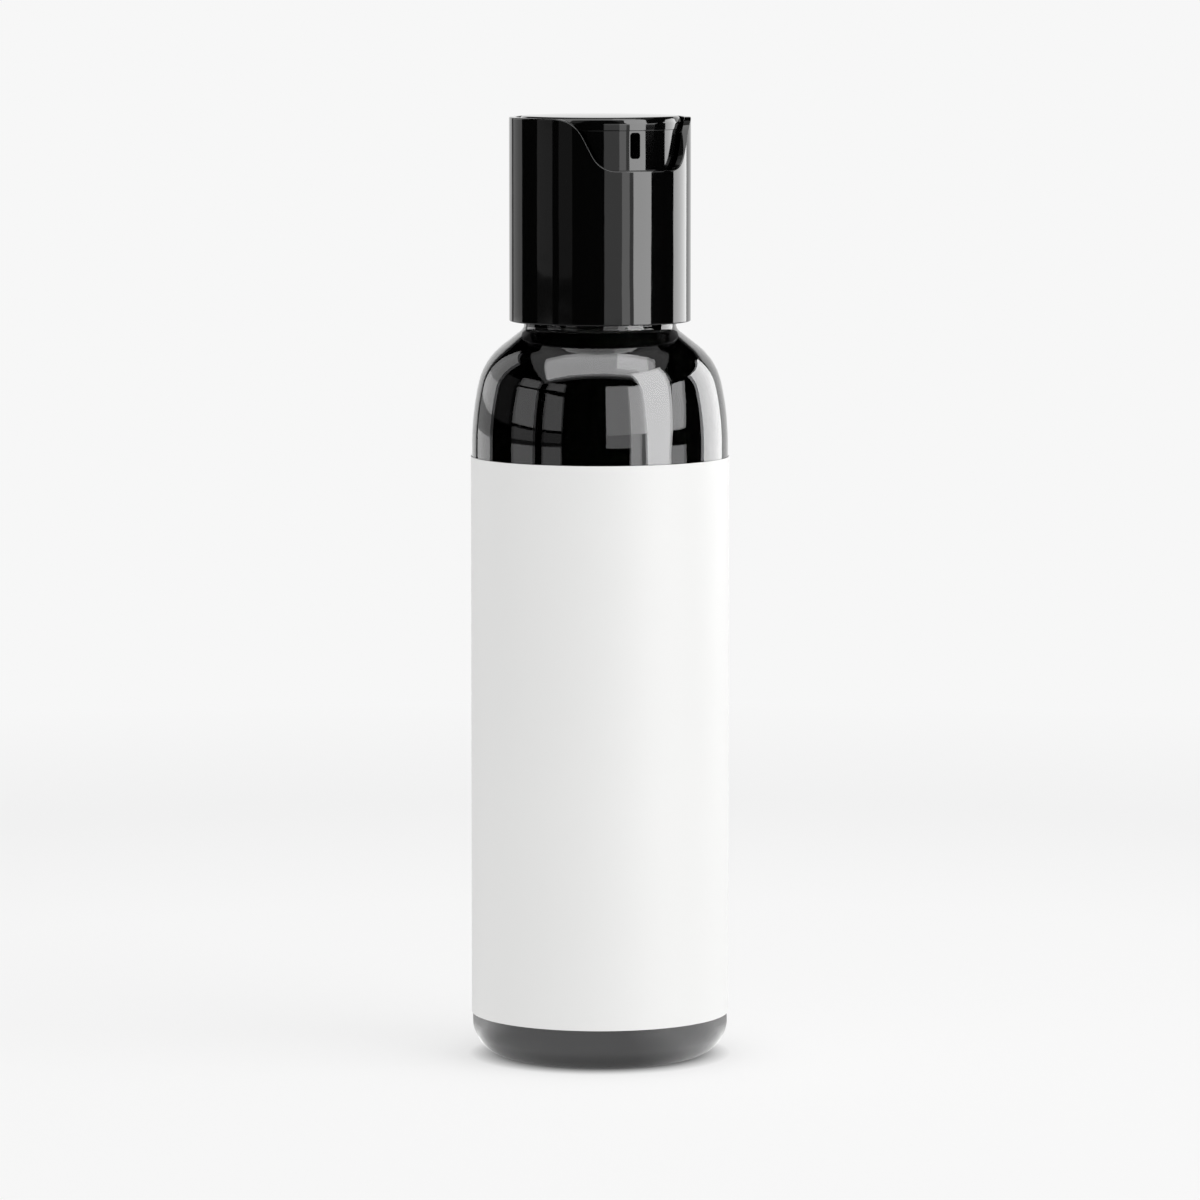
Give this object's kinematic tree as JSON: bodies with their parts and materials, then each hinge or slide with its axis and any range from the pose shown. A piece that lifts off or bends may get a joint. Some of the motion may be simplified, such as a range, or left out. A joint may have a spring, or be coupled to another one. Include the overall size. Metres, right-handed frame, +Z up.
{
  "type": "face wash bottle",
  "caption": "Round clear bottle of dark gel with a rounded shoulder, a blank wrap label and a screwed disc-top cap whose disc rocks open.",
  "frame": {"origin": "centre of the base, on the surface that the bottle stands on", "axes": "+Z up along the bottle's axis, the spout faces -Y, +X to the right seen from the spout's side"},
  "size_m": [0.04, 0.0401, 0.1465],
  "materials": {
    "bottle_plastic": "clear blown plastic with a faint smoke tint, high gloss",
    "gel": "opaque black gel, wet gloss",
    "label_film": "white label film, satin, blank",
    "liner_foam": "white foam, matt",
    "cap_plastic": "moulded black plastic, polished"
  },
  "bodies": {
    "bottle_body": {"bottle": "bottle_plastic", "face_wash_gel": "gel", "label": "label_film"},
    "liner_body": {"seal_liner": "liner_foam"},
    "cap_body": {"cap_shell": "cap_plastic"},
    "disc_body": {"press_disc": "cap_plastic"}
  },
  "joints": [
    {"name": "cap_lift", "type": "slide", "parent": "bottle_body", "child": "liner_body", "axis": [0, 0, 1], "range_m": [0, 0.0048]},
    {"name": "cap_turn", "type": "hinge", "parent": "liner_body", "child": "cap_body", "pos_m": [0, 0, 0.122], "axis": [0, 0, 1], "range_deg": [0, 540]},
    {"name": "disc_rock", "type": "hinge", "parent": "cap_body", "child": "disc_body", "pos_m": [0, 0, 0.14303], "axis": [-1, 0, 0], "range_deg": [0, 20]}
  ],
  "couplings": [
    {"joint": "cap_lift", "follows": "cap_turn", "m_per_rad": 0.00050532}
  ]
}
